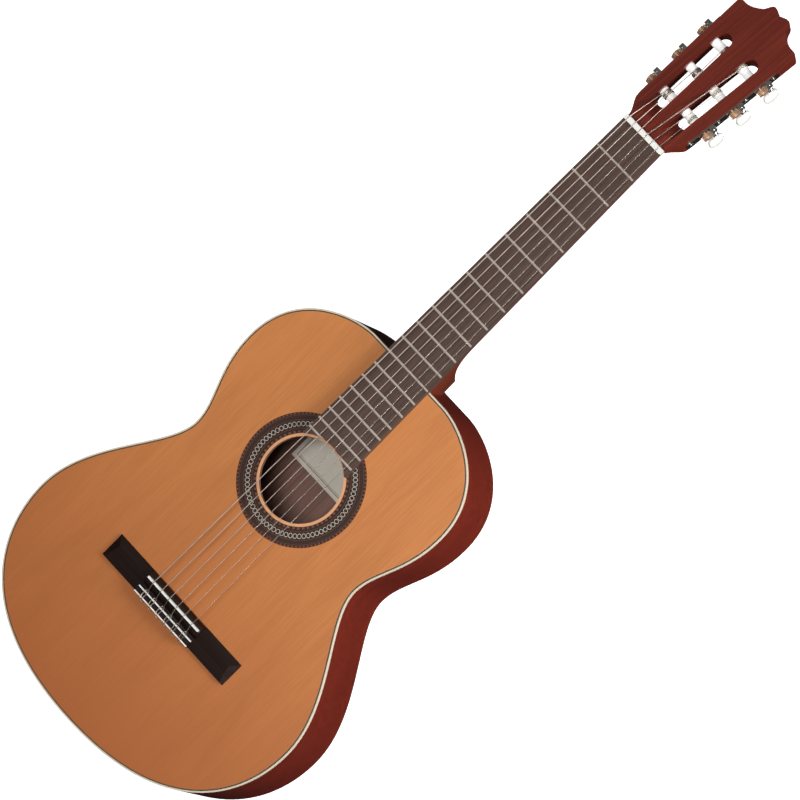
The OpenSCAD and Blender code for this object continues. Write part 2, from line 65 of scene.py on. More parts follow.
RAMP_START, RAMP_END, RAMP_DEPTH, SHOULDER_Y, CREST_Y = 12.0, 36.0, 13.5, 19.0, 175.0
AXIS_Z, FIRST_STATION, STATION_GAP, ROLLER_R = -9.0, 42.5, 35.0, 5.0
MESH_X, CENTRE_DIST, GEAR_TEETH = 4.6, 8.2, 14
WORM_R, WORM_OFF, WORM_HALF, SHAFT_R = 2.4, 0.75, 3.9, 1.5
LEAD = 2 * math.pi * (CENTRE_DIST - WORM_R) / GEAR_TEETH
BUTTON_TOP = -24.5
HEEL_LEN, HEEL_FOOT, CAP_T, SHAFT_T = 64.0, 17.0, 3.0, 15.5
STRING_D = [0.71, 0.82, 1.02, 0.74, 0.89, 1.09]
ROLLER_X = [20, 16.5, 13.5, -13.5, -16.5, -20]
LABEL_HALF, LABEL_Y, LABEL_LEN = 54.0, HOLE_Y - 4.5, 66.5

# ---------------------------------------------------------------- frames
TOP = Matrix.Translation((0, 0, BODY_DEPTH)) @ Matrix.Rotation(-TAPER, 4, "X")
HEAD = TOP @ Matrix.Translation((0, HEAD_Y, HEAD_Z)) @ Matrix.Rotation(-HEAD_TILT, 4, "X")


def tuner_matrix(i):
    """Frame of string i's tuning machine: Y along the head's edge, +X out of it."""
    edge = Matrix.Translation((EDGE_X, 0, 0)) @ Matrix.Rotation(-FLARE, 4, "Z")
    mirror = Matrix.Identity(4) if i < 3 else Matrix.Scale(-1, 4, (1, 0, 0))
    return HEAD @ mirror @ edge


def station(i):
    return FIRST_STATION + STATION_GAP * min(i, 5 - i)


# ---------------------------------------------------------------- curves and outlines
def bezier(a, b, c, d, n):
    t = np.linspace(0, 1, n, endpoint=False)[:, None]
    a, b, c, d = (np.array(p, float) for p in (a, b, c, d))
    return (1 - t) ** 3 * a + 3 * (1 - t) ** 2 * t * b + 3 * (1 - t) * t * t * c + t ** 3 * d


def mirrored(half):
    """Closes a right half that starts and ends on the centre line."""
    left = half[::-1] * (-1, 1)
    return np.vstack([half, left[np.abs(left[:, 0]) > 0.01]])


def body_outline(steps=72):
    y = TAIL_Y
    return mirrored(np.vstack([
        bezier((0, y), (150, y), (LOWER, y + 79), (LOWER, y + 139), steps),
        bezier((LOWER, y + 139), (LOWER, y + 205), (WAIST, y + 259), (WAIST, y + 297), steps),
        bezier((WAIST, y + 297), (WAIST, y + 325), (UPPER, y + 347), (UPPER, y + 395), steps),
        bezier((UPPER, y + 395), (UPPER, y + 463), (78, JOINT_Y), (50, JOINT_Y), steps),
        bezier((50, JOINT_Y), (40, JOINT_Y), (10, JOINT_Y), (0, JOINT_Y), 8),
        [(0, JOINT_Y)]]))


OUTLINE = body_outline()


def inward(d):
    t = np.roll(OUTLINE, -1, 0) - np.roll(OUTLINE, 1, 0)
    t /= np.linalg.norm(t, axis=1)[:, None]
    return OUTLINE + d * np.stack([-t[:, 1], t[:, 0]], 1)


def circle(r, x=0.0, y=0.0, n=192):
    a = np.linspace(0, 2 * math.pi, n, endpoint=False)
    return np.stack([x + r * np.cos(a), y + r * np.sin(a)], 1)


def clip_side(loop, treble):
    """Half of a closed loop about the centre line, x >= 0 or x <= 0."""
    s = 1 if treble else -1
    keep = loop[loop[:, 0] * s > -0.01].copy()
    gap = np.linalg.norm(np.roll(keep, -1, 0) - keep, axis=1).argmax()
    keep = np.roll(keep, -gap - 1, 0)
    keep[np.abs(keep[:, 0]) < 0.02, 0] = 0
    return keep


def smooth_path(points, per=8):
    """Catmull-Rom curve through given points."""
    p = np.array(points, float)
    p = np.vstack([2 * p[0] - p[1], p, 2 * p[-1] - p[-2]])
    out = []
    for k in range(1, len(p) - 2):
        for t in np.linspace(0, 1, per, endpoint=False):
            a, b, c, d = p[k - 1:k + 3]
            out.append(0.5 * (2 * b + (c - a) * t + (2 * a - 5 * b + 4 * c - d) * t * t
                              + (3 * b - a - 3 * c + d) * t ** 3))
    return np.array(out + [p[-2]])


# ---------------------------------------------------------------- mesh building
def mesh(name, verts, faces, material, at=TOP, body=GUITAR, replaces=(), slot=None, sharp=35, bevel=0):
    """A piece from points in millimetres in the frame 'at', riding on a body."""
    m = bpy.data.meshes.new(name)
    world = np.array(at)
    v = (np.asarray(verts, float) @ world[:3, :3].T + world[:3, 3]) * MM
    if at.determinant() < 0:
        faces = [tuple(reversed(f)) for f in faces]
    m.from_pydata(v.tolist(), [], [tuple(int(i) for i in f) for f in faces])
    m.validate()
    m.update()
    m.shade_smooth()
    m.set_sharp_from_angle(angle=math.radians(sharp))
    m.materials.append(material)
    obj = bpy.data.objects.new(name, m)
    bpy.context.collection.objects.link(obj)
    if bevel:
        add_bevel(obj, bevel)
    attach(obj, body)
    if replaces:
        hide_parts(*replaces)
    return obj


def add_bevel(obj, width, segments=3, angle=30):
    mod = obj.modifiers.new("edge", "BEVEL")
    mod.width = width * MM
    mod.segments = segments
    mod.limit_method = "ANGLE"
    mod.angle_limit = math.radians(angle)
    mod.harden_normals = True


def prism(loops, z0, z1):
    """Flat plate between two heights: the first loop is its edge, the others are holes.
    A height is a number or a function of the flat points."""
    flat = np.vstack(loops)
    n = len(flat)
    heights = [z(flat) if callable(z) else np.full(n, z) for z in (z0, z1)]
    verts = np.vstack([np.column_stack([flat, h]) for h in heights])
    tris = tessellate_polygon([[Vector((x, y, 0)) for x, y in loop] for loop in loops])
    faces = []
    for t in tris:
        a, b, c = (flat[i] for i in t)
        up = np.cross(b - a, c - a) > 0
        faces.append(tuple(i + n for i in (t if up else t[::-1])))
        faces.append(tuple(t[::-1] if up else t))
    start = 0
    for k, loop in enumerate(loops):
        size = len(loop)
        area = np.sum(loop[:, 0] * np.roll(loop[:, 1], -1) - loop[:, 1] * np.roll(loop[:, 0], -1))
        ccw = (area > 0) == (k == 0)
        for i in range(size):
            a, b = start + i, start + (i + 1) % size
            faces.append((a, b, b + n, a + n) if ccw else (b, a, a + n, b + n))
        start += size
    return verts, faces


def strip(outer, inner, z0, z1, closed=True):
    """Upright band between two matching lines."""
    n = len(outer)
    heights = [[z(p) if callable(z) else np.full(n, z) for z in (z0, z1)] for p in (outer, inner)]
    rows = [np.column_stack([outer, heights[0][0]]), np.column_stack([outer, heights[0][1]]),
            np.column_stack([inner, heights[1][1]]), np.column_stack([inner, heights[1][0]])]
    verts = np.vstack(rows)
    faces = []
    for i in range(n if closed else n - 1):
        j = (i + 1) % n
        for r in range(4):
            s = (r + 1) % 4
            faces.append((r * n + i, r * n + j, s * n + j, s * n + i))
    if not closed:
        faces.append((0, n, 2 * n, 3 * n))
        faces.append((n - 1, 4 * n - 1, 3 * n - 1, 2 * n - 1))
    return verts, faces


def loft(rings, closed_ends=True):
    rings = np.array(rings, float)
    m, n = rings.shape[:2]
    faces = [(k * n + i, (k + 1) * n + i, (k + 1) * n + (i + 1) % n, k * n + (i + 1) % n)
             for k in range(m - 1) for i in range(n)]
    if closed_ends:
        faces.append(tuple(range(n)))
        faces.append(tuple((m - 1) * n + i for i in range(n - 1, -1, -1)))
    return rings.reshape(-1, 3), faces


def tube(path, radius, sides=10):
    """Round tube along a path, with its frame carried along without twist."""
    path = np.array(path, float)
    tangent = np.gradient(path, axis=0)
    tangent /= np.linalg.norm(tangent, axis=1)[:, None]
    side = np.cross(tangent[0], (0, 0, 1.0))
    if np.linalg.norm(side) < 0.1:
        side = np.cross(tangent[0], (0, 1.0, 0))
    radii = np.broadcast_to(radius, len(path))
    rings = []
    for p, t, r in zip(path, tangent, radii):
        side = side - t * np.dot(side, t)
        side /= np.linalg.norm(side)
        up = np.cross(t, side)
        a = np.linspace(0, 2 * math.pi, sides, endpoint=False)[:, None]
        rings.append(p + r * (np.cos(a) * side + np.sin(a) * up))
    return loft(np.array(rings)[:, ::-1])


def join(*parts):
    verts, faces, base = [], [], 0
    for v, f in parts:
        verts.append(np.asarray(v, float))
        faces += [tuple(i + base for i in face) for face in f]
        base += len(v)
    return np.vstack(verts), faces


# ---------------------------------------------------------------- materials
class Nodes:
    """Short hand for building a node tree."""

    def __init__(self, name):
        self.material = bpy.data.materials.new(name)
        self.material.use_nodes = True
        self.tree = self.material.node_tree
        self.shader = self.tree.nodes["Principled BSDF"]

    def add(self, kind, inputs=None, **settings):
        node = self.tree.nodes.new("ShaderNode" + kind)
        for key, value in settings.items():
            setattr(node, key, value)
        for key, value in (inputs or {}).items():
            self.put(node.inputs[key], value)
        return node

    def put(self, socket, value):
        if isinstance(value, bpy.types.NodeSocket):
            self.tree.links.new(value, socket)
        else:
            socket.default_value = value

    def set(self, **values):
        for key, value in values.items():
            self.put(self.shader.inputs[key.replace("_", " ")], value)

    def math(self, op, a, b=0.0, clamp=False):
        node = self.add("Math", {0: a, 1: b}, operation=op)
        node.use_clamp = clamp
        return node.outputs[0]

    def place(self, turn=(0, 0, 0), scale=(1, 1, 1)):
        """Position on the object in metres, turned and then scaled."""
        co = self.add("TexCoord").outputs["Object"]
        turned = self.add("Mapping", {"Vector": co, "Rotation": turn})
        return self.add("Mapping", {"Vector": turned.outputs[0], "Scale": scale}).outputs[0]

    def noise(self, vector, scale, detail=3.0, rough=0.5, distortion=0.0):
        return self.add("TexNoise", {"Vector": vector, "Scale": scale, "Detail": detail,
                                     "Roughness": rough, "Distortion": distortion}).outputs["Fac"]

    def ramp(self, factor, stops, mode="LINEAR"):
        node = self.add("ValToRGB", {"Fac": factor})
        node.color_ramp.interpolation = mode
        e = node.color_ramp.elements
        while len(e) < len(stops):
            e.new(0.5)
        for item, (position, color) in zip(e, stops):
            item.position = position
            item.color = (*color, 1)
        return node.outputs["Color"]

    def mix(self, factor, a, b, blend="MIX"):
        node = self.add("Mix", data_type="RGBA", blend_type=blend)
        self.put(node.inputs["Factor"], factor)
        self.put(node.inputs[6], (*a, 1) if isinstance(a, tuple) else a)
        self.put(node.inputs[7], (*b, 1) if isinstance(b, tuple) else b)
        return node.outputs[2]

    def bump(self, height, strength, distance=0.0002):
        self.put(self.shader.inputs["Normal"],
                 self.add("Bump", {"Height": height, "Strength": strength,
                                   "Distance": distance}).outputs["Normal"])


def wood(name, light, dark, line, turn=(0, 0, 0), roughness=0.35, coat=0.0, pores=0.0,
         fine=900, wander=6.0, bump=0.15, shine=0.4):
    """Straight-grained wood with its grain along Y: growth lines, slow colour drift and pores."""
    n = Nodes(name)
    flat = n.place(turn)
    long = n.add("Mapping", {"Vector": flat, "Scale": (1, 0.02, 1)}).outputs[0]
    drift = n.noise(n.add("Mapping", {"Vector": flat, "Scale": (1, 0.18, 1)}).outputs[0], wander, 2)
    lines = n.noise(long, fine, 3, 0.6)
    bands = n.noise(long, fine * 0.13, 2, 0.5)
    base = n.mix(drift, light, dark)
    grain = n.ramp(lines, [(0.36, (0, 0, 0)), (0.62, (1, 1, 1))])
    tone = n.mix(n.math("MULTIPLY", n.math("SUBTRACT", 1.0, grain), 0.55), base, line)
    tone = n.mix(n.math("MULTIPLY", bands, 0.45), tone, line)
    height = grain
    if pores:
        pore_at = n.add("Mapping", {"Vector": flat, "Scale": (1, 0.06, 1)}).outputs[0]
        pore = n.ramp(n.noise(pore_at, 2600, 2, 0.7), [(0.33, (1, 1, 1)), (0.42, (0, 0, 0))])
        tone = n.mix(n.math("MULTIPLY", pore, pores), tone, tuple(c * 0.35 for c in line))
    n.set(Base_Color=tone, Roughness=roughness, Coat_Weight=coat, Coat_Roughness=0.12,
          Specular_IOR_Level=shine)
    n.bump(height, bump)
    return n.material


def plain(name, color, roughness=0.4, metallic=0.0, coat=0.0, vary=0.06, scale=400,
          transmission=0.0, subsurface=0.0, glow=0.0):
    """One substance with slight mottling in its colour and gloss. A little glow stands in for the light
    that thin pale plastic passes on from the white floor."""
    n = Nodes(name)
    spots = n.noise(n.place(), scale, 4)
    darker = tuple(c * (1 - 2 * vary) for c in color)
    n.set(Base_Color=n.mix(spots, color, darker), Metallic=metallic, Coat_Weight=coat,
          Transmission_Weight=transmission, Subsurface_Weight=subsurface,
          Emission_Color=(*color, 1), Emission_Strength=glow)
    n.set(Roughness=n.math("ADD", roughness - 0.04, n.math("MULTIPLY", spots, 0.08)))
    n.bump(spots, 0.05)
    return n.material


def cedar():
    """Book-matched cedar top, with painted shade that turns it redder and darker towards the tail, a painted
    highlight on the ring inside the rosette and painted shade on faces that don't face up.
    """
    n = Nodes("cedar")
    x, y, z = n.add("SeparateXYZ", {0: n.place()}).outputs
    flat = n.add("CombineXYZ", {0: n.math("ABSOLUTE", x), 1: y, 2: z}).outputs[0]
    long = n.add("Mapping", {"Vector": flat, "Scale": (1, 0.02, 1)}).outputs[0]
    wide = n.add("Mapping", {"Vector": flat, "Scale": (1, 0.18, 1)}).outputs[0]
    # Painted shade: the top turns redder and darker from the soundhole towards the tail, where the light
    # falls off.
    tail = n.add("MapRange", {"Value": y, "From Min": 0.10, "From Max": TAIL_Y * MM}).outputs[0]
    base = n.mix(tail, (0.69, 0.268, 0.085), (0.42, 0.122, 0.038))
    streaks = n.ramp(n.noise(wide, 34, 3, 0.6, 0.6), [(0.45, (0, 0, 0)), (0.75, (1, 1, 1))])
    base = n.mix(n.math("MULTIPLY", n.noise(wide, 7, 2), 0.45), base, (0.50, 0.17, 0.05))
    base = n.mix(n.math("MULTIPLY", streaks, 0.35), base, (0.38, 0.12, 0.035))
    lines = n.ramp(n.noise(long, 820, 3, 0.6), [(0.38, (0, 0, 0)), (0.60, (1, 1, 1))])
    tone = n.mix(n.math("MULTIPLY", n.math("SUBTRACT", 1.0, lines), 0.22), base, (0.36, 0.12, 0.035))
    tone = n.mix(n.math("MULTIPLY", n.noise(long, 110, 2), 0.16), tone, (0.36, 0.12, 0.035))
    radius = n.math("SQRT", n.math("ADD", n.math("MULTIPLY", x, x),
                                   n.math("POWER", n.math("SUBTRACT", y, HOLE_Y * MM), 2.0)))
    # Painted highlight: the bare cedar ring between the soundhole and the rosette is made paler than the
    # rest of the top.
    tone = n.mix(n.math("LESS_THAN", radius, ROSETTE_IN * MM), tone, (0.72, 0.36, 0.18))
    # Painted shade: every face that doesn't face up, such as the soundhole wall, is made dark brown.
    upright = n.add("SeparateXYZ", {0: n.add("NewGeometry").outputs["Normal"]}).outputs[2]
    tone = n.mix(n.math("LESS_THAN", upright, 0.5), tone, (0.10, 0.045, 0.02))
    n.set(Base_Color=tone, Roughness=0.4, Specular_IOR_Level=0.15)
    n.bump(lines, 0.06)
    return n.material


HEAD_TURN = (HEAD_TILT + TAPER, 0, 0)
CEDAR = cedar()
SIDE = wood("sapele_side", (0.30, 0.036, 0.018), (0.18, 0.022, 0.012), (0.08, 0.010, 0.006),
            roughness=0.3, coat=0.0, pores=0.3, fine=420, wander=9)
BACK = wood("sapele_back", (0.32, 0.155, 0.11), (0.24, 0.115, 0.08), (0.13, 0.06, 0.042),
            roughness=0.5, pores=0.3, fine=420, wander=9)
NECK_WOOD = wood("mahogany_neck", (0.28, 0.058, 0.026), (0.19, 0.036, 0.017), (0.10, 0.018, 0.010),
                 roughness=0.3, coat=0.25, pores=0.35, fine=380)
HEAD_WOOD = wood("mahogany_head", (0.25, 0.036, 0.018), (0.13, 0.018, 0.010), (0.07, 0.010, 0.006),
                 turn=HEAD_TURN, roughness=0.3, coat=0.1, pores=0.35, fine=380, wander=24)
BOARD = wood("fingerboard_rosewood", (0.150, 0.088, 0.066), (0.098, 0.058, 0.044),
             (0.040, 0.024, 0.019), roughness=0.5, shine=0.2, pores=0.6, fine=520,
             bump=0.4)
BRIDGE_WOOD = wood("bridge_rosewood", (0.024, 0.009, 0.006), (0.013, 0.005, 0.004),
                   (0.007, 0.003, 0.002), turn=(0, 0, math.pi / 2), roughness=0.3, shine=0.25, pores=0.5,
                   fine=520, bump=0.3)
SPRUCE = wood("spruce", (0.66, 0.46, 0.26), (0.58, 0.38, 0.20), (0.42, 0.26, 0.12), roughness=0.6)
INNER = wood("inner_cedar", (0.45, 0.27, 0.14), (0.38, 0.22, 0.11), (0.28, 0.15, 0.07),
             roughness=0.65)
CREAM = plain("cream_binding", (0.72, 0.62, 0.47), 0.4)
BLACK = plain("dark_purfling", (0.045, 0.036, 0.020), 0.4)
BONE = plain("bone", (0.92, 0.90, 0.84), 0.4, subsurface=0.05, vary=0.03, scale=900)
NICKEL = plain("nickel", (0.62, 0.59, 0.54), 0.25, metallic=1.0, scale=1500)
FRET = plain("nickel_silver", (0.60, 0.51, 0.45), 0.4, metallic=0.3, scale=1500)
BRASS = plain("gear_brass", (0.78, 0.54, 0.38), 0.36, metallic=0.7, scale=1500)
WHITE = plain("roller_plastic", (0.93, 0.92, 0.90), 0.4, vary=0.02, glow=0.35)
NYLON = plain("clear_nylon", (0.80, 0.74, 0.64), 0.2, transmission=0.85)
WOUND = plain("silver_winding", (0.50, 0.42, 0.36), 0.4, metallic=0.9, scale=3000)


def paper():
    """Plain label: off-white with two thin border lines, drawn from its own width and length."""
    n = Nodes("paper")
    x, y, _ = n.add("SeparateXYZ", {0: n.add("TexCoord").outputs["Object"]}).outputs
    across = n.math("SUBTRACT", LABEL_HALF * MM, n.math("ABSOLUTE", x))
    along = n.math("SUBTRACT", LABEL_LEN / 2 * MM,
                   n.math("ABSOLUTE", n.math("SUBTRACT", y, (LABEL_Y + LABEL_LEN / 2) * MM)))
    edge = n.math("MINIMUM", across, along)
    tone = n.mix(n.noise(n.place(), 120, 3), (0.80, 0.74, 0.64), (0.70, 0.63, 0.53))
    for near, far in ((0.0040, 0.0048), (0.0058, 0.0062)):
        line = n.math("MULTIPLY", n.math("GREATER_THAN", edge, near), n.math("LESS_THAN", edge, far))
        tone = n.mix(line, tone, (0.25, 0.17, 0.12))
    n.set(Base_Color=tone, Roughness=0.8)
    return n.material


PAPER = paper()


def pearl():
    n = Nodes("pearl_plastic")
    co = n.place()
    flakes = n.add("TexVoronoi", {"Vector": co, "Scale": 260.0}).outputs["Color"]
    swirl = n.noise(co, 160, 3, 0.6, 1.5)
    tone = n.ramp(swirl, [(0.35, (0.80, 0.77, 0.68)), (0.5, (0.92, 0.90, 0.84)), (0.68, (0.72, 0.70, 0.64))])
    # The emission is painted light: a glow that brightens the knobs though they are no lamp.
    n.set(Base_Color=n.mix(0.12, tone, flakes, "OVERLAY"), Roughness=0.18, Coat_Weight=0.6,
          Subsurface_Weight=0.1, Emission_Color=(0.9, 0.9, 0.86, 1), Emission_Strength=0.3)
    return n.material


PEARL = pearl()


def mosaic():
    """Rosette: rings of dashes round two rows of rope, all by radius and angle."""
    n = Nodes("rosette_mosaic")
    co = n.add("Mapping", {"Vector": n.add("TexCoord").outputs["Object"],
                           "Location": (0, -HOLE_Y * MM, 0)}, vector_type="POINT").outputs[0]
    x, y, _ = n.add("SeparateXYZ", {0: co}).outputs
    radius = n.math("MULTIPLY", n.math("SQRT", n.math("ADD", n.math("MULTIPLY", x, x),
                                                      n.math("MULTIPLY", y, y))), 1000.0)
    angle = n.math("DIVIDE", n.math("ARCTAN2", y, x), 2 * math.pi)

    def dashes(count, slant=0.0, share=0.5):
        phase = n.math("ADD", n.math("MULTIPLY", angle, float(count)), n.math("MULTIPLY", radius, slant))
        return n.math("LESS_THAN", n.math("FRACT", phase), share)

    def ring(r0, r1):
        return n.math("MULTIPLY", n.math("GREATER_THAN", radius, r0), n.math("LESS_THAN", radius, r1))

    def chain(count, middle, half):
        """Oval links end to end: 1 on the rim of a link, 0 elsewhere."""
        along = n.math("SUBTRACT", n.math("FRACT", n.math("MULTIPLY", angle, float(count))), 0.5)
        across = n.math("DIVIDE", n.math("SUBTRACT", radius, middle), half)
        along = n.math("DIVIDE", along, 0.47)
        oval = n.math("ADD", n.math("MULTIPLY", along, along), n.math("MULTIPLY", across, across))
        return n.math("MULTIPLY", n.math("GREATER_THAN", oval, 0.60), n.math("LESS_THAN", oval, 1.0))

    dark, brown, red = (0.016, 0.011, 0.010), (0.055, 0.028, 0.020), (0.17, 0.065, 0.040)
    ivory = (0.56, 0.50, 0.42)
    base = n.mix(n.noise(co, 900, 2), dark, brown)
    tone = n.mix(n.math("MULTIPLY", ring(65.4, 67.1), dashes(104)), base, red)
    tone = n.mix(n.math("MULTIPLY", ring(46.9, 49.2), dashes(60)), tone, red)
    tone = n.mix(n.math("MULTIPLY", ring(61.0, 63.6), dashes(150, 0.3, 0.35)), tone, brown)
    tone = n.mix(chain(76, 55.8, 2.6), tone, ivory)
    for r0, r1 in ((64.2, 64.6), (59.8, 60.2), (51.2, 51.6)):
        tone = n.mix(ring(r0, r1), tone, red)
    n.set(Base_Color=tone, Roughness=0.4, Specular_IOR_Level=0.15)
    return n.material


MOSAIC = mosaic()


def cad_look(material, *nodes, bevel=0.0):
    """A better finish, and fine rounded edges, on CAD nodes that keep their shape."""
    for name in nodes:
        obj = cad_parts[name]
        obj.data.materials.clear()
        obj.data.materials.append(material)
        if bevel:
            add_bevel(obj, bevel, 2)


# ---------------------------------------------------------------- body
def back_height(row_z):
    """Height in the top frame, at a flat point, of a level of the row frame."""
    return lambda p: (row_z - BODY_DEPTH + p[:, 1] * math.sin(TAPER)) / math.cos(TAPER)


def build_body():
    plate_edge = inward(BAND_W + PURFLING_W)
    for treble in (False, True):
        side = "treble" if treble else "bass"
        half = clip_side(plate_edge, treble)
        s = 1 if treble else -1
        arc = np.linspace(-math.pi / 2, math.pi / 2, 128)
        bite = np.stack([s * ROSETTE_R * np.cos(arc), HOLE_Y + ROSETTE_R * np.sin(arc)], 1)
        outline = half if half[0, 1] > half[-1, 1] else half[::-1]
        loop = np.vstack([outline, bite])
        area = np.sum(loop[:, 0] * np.roll(loop[:, 1], -1) - loop[:, 1] * np.roll(loop[:, 0], -1))
        plate = prism([loop if area > 0 else loop[::-1]], -PLATE_T, 0)
        lip_out = np.stack([s * ROSETTE_IN * np.cos(arc), HOLE_Y + ROSETTE_IN * np.sin(arc)], 1)
        lip_in = np.stack([s * HOLE_R * np.cos(arc), HOLE_Y + HOLE_R * np.sin(arc)], 1)
        lip = strip(lip_out, lip_in, -PLATE_T, 0, closed=False)
        board = join(plate, lip)
        mesh("soundboard_%s_half" % side, *board, CEDAR, replaces=["soundboard_" + side],
             slot="cedar_top")
        back = clip_side(inward(RIB_T), treble)
        back[np.abs(back[:, 0]) < 1.5, 0] = 1.5 * s
        mesh("back_%s_half" % side, *prism([back], back_height(0), back_height(PLATE_T)), BACK,
             replaces=["back_" + side], slot="mahogany_body")
        keep = (OUTLINE[:, 0] * s > -0.01) & ((np.abs(OUTLINE[:, 0]) > 6) | (OUTLINE[:, 1] > 0))
        outer, inner = OUTLINE[keep], inward(RIB_T)[keep]
        if not treble:
            start = np.linalg.norm(np.roll(outer, -1, 0) - outer, axis=1).argmax() + 1
            outer, inner = np.roll(outer, -start, 0), np.roll(inner, -start, 0)
        mesh("rib_%s_side" % side, *strip(outer, inner, back_height(BINDING_H), -BAND_H, False),
             SIDE, replaces=["rib_" + side], slot="mahogany_body")
    ring = circle(ROSETTE_R, 0, HOLE_Y)
    mesh("rosette_ring", *prism([ring, circle(ROSETTE_IN, 0, HOLE_Y)[::-1]], -PLATE_T, 0.0), MOSAIC,
         replaces=["rosette"], slot="rosette_mosaic")
    mesh("top_binding_band", *strip(OUTLINE, inward(BAND_W), -BAND_H, 0), CREAM, bevel=0.4,
         replaces=["top_binding"], slot="cream_binding")
    mesh("back_binding_band", *strip(OUTLINE, inward(RIB_T), back_height(0), back_height(BINDING_H)),
         SIDE, bevel=0.5, replaces=["back_binding"], slot="mahogany_body")
    mesh("top_purfling_line", *strip(inward(BAND_W), plate_edge, -PURFLING_H, 0),
         BLACK, replaces=["top_purfling"], slot="dark_purfling")


# ---------------------------------------------------------------- neck and head
def board_w(y):
    return NUT_W + (JOINT_W - NUT_W) * (NUT_Y - y) / (NUT_Y - JOINT_Y)


def heel_floor(y):
    return (CAP_T - BODY_DEPTH + y * math.sin(TAPER)) / math.cos(TAPER)


def neck_depth(y):
    s = (y - JOINT_Y - HEEL_FOOT) / (HEEL_LEN - HEEL_FOOT)
    shaft = SHAFT_T + 1.5 * (NUT_Y - y) / (NUT_Y - JOINT_Y)
    if s <= 0:
        return -heel_floor(y)
    return shaft if s >= 1 else shaft + (-heel_floor(y) - shaft) * (1 - s) ** 2


def neck_ring(y, depth=None, lift=0.0):
    a, b = board_w(y) / 2, neck_depth(y) if depth is None else depth
    deep = max(0.0, (b - SHAFT_T) / (BODY_DEPTH - SHAFT_T))
    t = np.radians(np.linspace(0, 180, 49))
    wide = a * np.sign(np.cos(t)) * np.abs(np.cos(t)) ** (1 - 0.35 * deep)
    return np.stack([wide * (1 - 0.3 * deep * np.sin(t) ** 2), np.full(49, y),
                     lift - np.minimum(b + lift, 1.1 * (b + lift) * np.sin(t))], 1)


def head_outline():
    y = CREST_Y - 19
    x = EDGE_X + y * math.tan(FLARE)
    half = np.vstack([
        [(0, 0)],
        bezier((NUT_W / 2, 0), (NUT_W / 2 + 1, 7), (EDGE_X - 2, 11), (EDGE_X + 0.8, SHOULDER_Y), 24),
        bezier((x, y), (x, y + 3.5), (x - 3, y + 4.5), (x - 7, y + 4.3), 12),
        bezier((x - 7, y + 4.3), (28, y + 4), (22, CREST_Y - 11), (17, CREST_Y - 6.7), 16),
        bezier((17, CREST_Y - 6.7), (14.5, CREST_Y - 4.5), (14, CREST_Y + 2), (10.5, CREST_Y + 3), 12),
        bezier((10.5, CREST_Y + 3), (7, CREST_Y + 4), (3, CREST_Y + 1), (0, CREST_Y), 16),
        [(0, CREST_Y)]])
    return mirrored(half)


def slot_loop(side):
    r = SLOT_W / 2
    a = np.linspace(0, math.pi, 33)
    top = np.stack([r * np.cos(a), SLOT_END - r + r * np.sin(a)], 1)
    low = np.stack([-r * np.cos(a), SLOT_START + r - r * np.sin(a)], 1)
    loop = np.vstack([top, low]) - (SLOT_MID, 0)
    c, s = math.cos(FLARE), math.sin(FLARE)
    turned = np.stack([EDGE_X + loop[:, 0] * c + loop[:, 1] * s, -loop[:, 0] * s + loop[:, 1] * c], 1)
    return turned[::-1] if side > 0 else turned * (-1, 1)


def ramp_cutter(side):
    """Wedge that leads the strings down into a slot, in the head frame."""
    rise = (RAMP_END - RAMP_START) / RAMP_DEPTH
    rings = []
    for x in (-SLOT_MID - SLOT_W / 2, -SLOT_MID + SLOT_W / 2):
        rings.append([(x, RAMP_START - rise, 1), (x, RAMP_END, 1), (x, RAMP_END, -RAMP_DEPTH)])
    verts, faces = loft(rings)
    edge = Matrix.Translation((EDGE_X, 0, 0)) @ Matrix.Rotation(-FLARE, 4, "Z")
    verts = np.array([edge @ Vector(v) for v in verts]) * (side, 1, 1)
    return verts, faces if side > 0 else [f[::-1] for f in faces]


def shoulder_cutter(side):
    """Shaving off the lower edge of the head, which fades out from the nut up the shoulder."""
    outline = head_outline()
    edge = outline[(outline[:, 0] > 20) & (outline[:, 1] < 60)]
    edge = edge[np.argsort(edge[:, 1])]
    rings = []
    for t in np.linspace(0, 1, 12):
        y = -6 + 32 * t
        x = np.interp(y, edge[:, 1], edge[:, 0])
        size = 0.02 + (1 - t) ** 1.6
        rings.append([(x - 17 * size, y, -HEAD_T - 1), (x + 1, y, -HEAD_T + 16 * size),
                      (x + 8, y, -HEAD_T + 16 * size), (x + 8, y, -HEAD_T - 8),
                      (x - 17 * size, y, -HEAD_T - 8)])
    verts, faces = loft(rings)
    return verts * (side, 1, 1), faces if side > 0 else [f[::-1] for f in faces]


def carve(obj, verts, faces):
    """Cuts a solid, given in the head frame, out of an object."""
    world = np.array(HEAD)
    m = bpy.data.meshes.new("cutter")
    m.from_pydata(((verts @ world[:3, :3].T + world[:3, 3]) * MM).tolist(), [], faces)
    solid = bmesh.new()
    solid.from_mesh(m)
    bmesh.ops.recalc_face_normals(solid, faces=solid.faces)
    solid.to_mesh(m)
    solid.free()
    cutter = bpy.data.objects.new("cutter", m)
    bpy.context.collection.objects.link(cutter)
    mod = obj.modifiers.new("carve", "BOOLEAN")
    mod.operation = "DIFFERENCE"
    mod.solver = "EXACT"
    mod.object = cutter
    bpy.context.view_layer.update()
    carved = bpy.data.meshes.new_from_object(obj.evaluated_get(bpy.context.evaluated_depsgraph_get()))
    obj.modifiers.remove(mod)
    obj.data = carved
    carved.shade_smooth()
    carved.set_sharp_from_angle(angle=math.radians(35))
    bpy.data.objects.remove(cutter)


